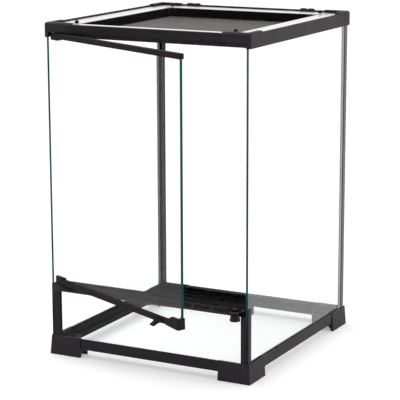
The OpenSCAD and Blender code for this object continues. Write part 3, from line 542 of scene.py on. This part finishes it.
def wire(form, start, end, radius, across, up):
    """One straight wire as a six-sided bar from start to end."""
    rings = []
    for centre in (start, end):
        ring = []
        for index in range(WIRE_SIDES):
            turn = 2 * math.pi * index / WIRE_SIDES
            spoke = math.cos(turn) * across + math.sin(turn) * up
            ring.append(form.verts.new(centre + radius * spoke))
        rings.append(ring)
    for index in range(WIRE_SIDES):
        after = (index + 1) % WIRE_SIDES
        face = form.faces.new((rings[0][index], rings[0][after], rings[1][after], rings[1][index]))
        face.smooth = True
    form.faces.new(rings[0][::-1])
    form.faces.new(rings[1])


def wire_places(low, high, radius):
    """Evenly pitched places from low to high, centred between them."""
    count = int((high - low - 2 * radius) / WIRE_PITCH)
    first = (low + high - count * WIRE_PITCH) / 2
    return [first + index * WIRE_PITCH for index in range(count + 1)]


def make_screen():
    low, high = (Vector(corner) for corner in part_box("cover_mesh"))
    radius = (high.z - low.z) / 4
    lower_z, upper_z = low.z + radius, high.z - radius
    x_axis, y_axis, z_axis = Vector((1, 0, 0)), Vector((0, 1, 0)), Vector((0, 0, 1))
    form = bmesh.new()
    for y in wire_places(low.y, high.y, radius):
        start, end = Vector((low.x, y, lower_z)), Vector((high.x, y, lower_z))
        wire(form, start, end, radius, y_axis, z_axis)
    for x in wire_places(low.x, high.x, radius):
        start, end = Vector((x, low.y, upper_z)), Vector((x, high.y, upper_z))
        wire(form, start, end, radius, x_axis, z_axis)
    bmesh.ops.recalc_face_normals(form, faces=form.faces)
    mesh = bpy.data.meshes.new("screen_wires")
    form.to_mesh(mesh)
    form.free()
    return new_object("screen_wires", mesh)


screen_wire = satin_metal("screen_wire", (0.185, 0.182, 0.17), 0.4, (300.0, 300.0, 300.0), 0.35)
screen = make_screen()
screen.data.materials.append(screen_wire)
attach(screen, "cover")
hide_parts("cover_mesh")
tray_plastic = moulded_plastic(
    "tray_plastic", (0.0060, 0.0048, 0.0056), (0.03, 0.027, 0.03), 0.7, 0.05, 1200.0, 0.12)
for side in SIDES:
    finish_node("cover_rail_" + side, tray_plastic)
finish_node("cover_corner_keys", foot_plastic)

# ---- Turn latches and cable inlets ----
# Four small turn latches with bright tongues and black ball knobs stand on the silver band, and
# four black shutters with rounded grips close the cable notches in the rear rail.

TONGUE_RISE = 1.35 * MM
KNOB_BLACK = (0.008, 0.007, 0.008, 1)


def latch_finish(tongue_top):
    """Bright below the given height for the tongue, black above it for the knob."""
    material = satin_metal("latch_finish", (0.70, 0.70, 0.69), 0.25, (500.0, 500.0, 500.0), 0.0)
    tree = material.node_tree
    shader = tree.nodes["Principled BSDF"]
    bright = shader.inputs["Base Color"].links[0].from_socket
    height = part_of_vector(tree, object_place(tree), "Z")
    above = math_value(tree, "GREATER_THAN", height, tongue_top)
    feed(tree, colour_mix(tree, above, bright, KNOB_BLACK), shader.inputs["Base Color"])
    shader.inputs["Specular IOR Level"].default_value = 0.15
    return material


latch_plate = latch_finish(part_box("trim_front")[1][2] + TONGUE_RISE)
for corner in CORNERS:
    finish_node("turn_latch_" + corner, latch_plate)
for number in range(1, 5):
    finish_node("inlet_shutter_" + str(number), foot_plastic)

# ---- Studio ----
# White floor and surroundings, a large soft key lamp at the upper left and a side lamp at the
# right that puts a sheen on the right-hand faces.

FLOOR_HALF = 9.0
FLOOR_Z = -0.2 * MM
FLOOR_GREY = 0.82
FLOOR_GLOW = 0.34
AMBIENT = 0.85
LAMP_SIZE = 1.6


def seen_ray(tree):
    """One for camera, glossy and transmission rays, which show the white background."""
    rays = tree.nodes.new("ShaderNodeLightPath").outputs
    seen = math_value(tree, "MAXIMUM", rays["Is Camera Ray"], rays["Is Glossy Ray"])
    return math_value(tree, "MAXIMUM", seen, rays["Is Transmission Ray"])


def soft_lamp(name, place, target, power):
    data = bpy.data.lights.new(name, "AREA")
    data.shape = "RECTANGLE"
    data.size = data.size_y = LAMP_SIZE
    data.energy = power
    lamp = new_object(name, data)
    lamp.location = place
    lamp.rotation_euler = (Vector(target) - Vector(place)).to_track_quat("-Z", "Y").to_euler()


floor_mesh = bpy.data.meshes.new("studio_floor")
floor_mesh.from_pydata(
    [(x * FLOOR_HALF, y * FLOOR_HALF, FLOOR_Z) for x, y in ((-1, -1), (1, -1), (1, 1), (-1, 1))],
    [], [(0, 1, 2, 3)])
floor_paint, paint, paint_shader = new_material("floor_paint")
paint_shader.inputs["Base Color"].default_value = (FLOOR_GREY, FLOOR_GREY, FLOOR_GREY, 1)
paint_shader.inputs["Roughness"].default_value = 0.9
paint_shader.inputs["Specular IOR Level"].default_value = 0.0
paint_shader.inputs["Emission Color"].default_value = (1, 1, 1, 1)
glow = math_value(paint, "MULTIPLY", seen_ray(paint), FLOOR_GLOW)
feed(paint, glow, paint_shader.inputs["Emission Strength"])
floor_mesh.materials.append(floor_paint)
new_object("studio_floor", floor_mesh)

world = bpy.data.worlds.new("studio")
bpy.context.scene.world = world
world.use_nodes = True
air = world.node_tree
backdrop = air.nodes["Background"]
backdrop.inputs["Color"].default_value = (1, 1, 1, 1)
feed(air, scaled(air, seen_ray(air), 1.0 - AMBIENT, AMBIENT), backdrop.inputs["Strength"])
soft_lamp("key_lamp", (-1.5, 0.2, 2.6), (0, 0, 0.2), 16.0)
soft_lamp("side_lamp", (2.4, 0.9, 0.9), (0, 0, 0.25), 15.0)

# ---- Camera ----
# Set at the photograph's viewing angle: 28 degrees to the right of the front and 12 degrees
# down, with the focal length fitted in pixels of the 400-pixel picture.

YAW, PITCH, ROLL = (math.radians(angle) for angle in (27.74, 12.17, -0.17))
CAMERA_PLACE = (1.028, -1.9013, 0.675)
SENSOR_WIDTH = 36.0
FOCAL_PIXELS = 1647.0
PICTURE_PIXELS = 400.0

up_axis = Vector((0, 0, 1))
across = Vector((math.cos(YAW), math.sin(YAW), 0))
ahead = Vector((-math.sin(YAW), math.cos(YAW), 0))
forward = math.cos(PITCH) * ahead - math.sin(PITCH) * up_axis
upward = math.sin(PITCH) * ahead + math.cos(PITCH) * up_axis
rolled_right = math.cos(ROLL) * across + math.sin(ROLL) * upward
rolled_up = -math.sin(ROLL) * across + math.cos(ROLL) * upward
camera_data = bpy.data.cameras.new("photo_camera")
camera_data.sensor_width = SENSOR_WIDTH
camera_data.lens = SENSOR_WIDTH * FOCAL_PIXELS / PICTURE_PIXELS
camera_data.clip_end = 60.0
camera = new_object("photo_camera", camera_data)
turn = Matrix((rolled_right, rolled_up, -forward)).transposed().to_4x4()
camera.matrix_world = Matrix.Translation(CAMERA_PLACE) @ turn
bpy.context.scene.camera = camera
bpy.context.scene.view_settings.view_transform = "Standard"
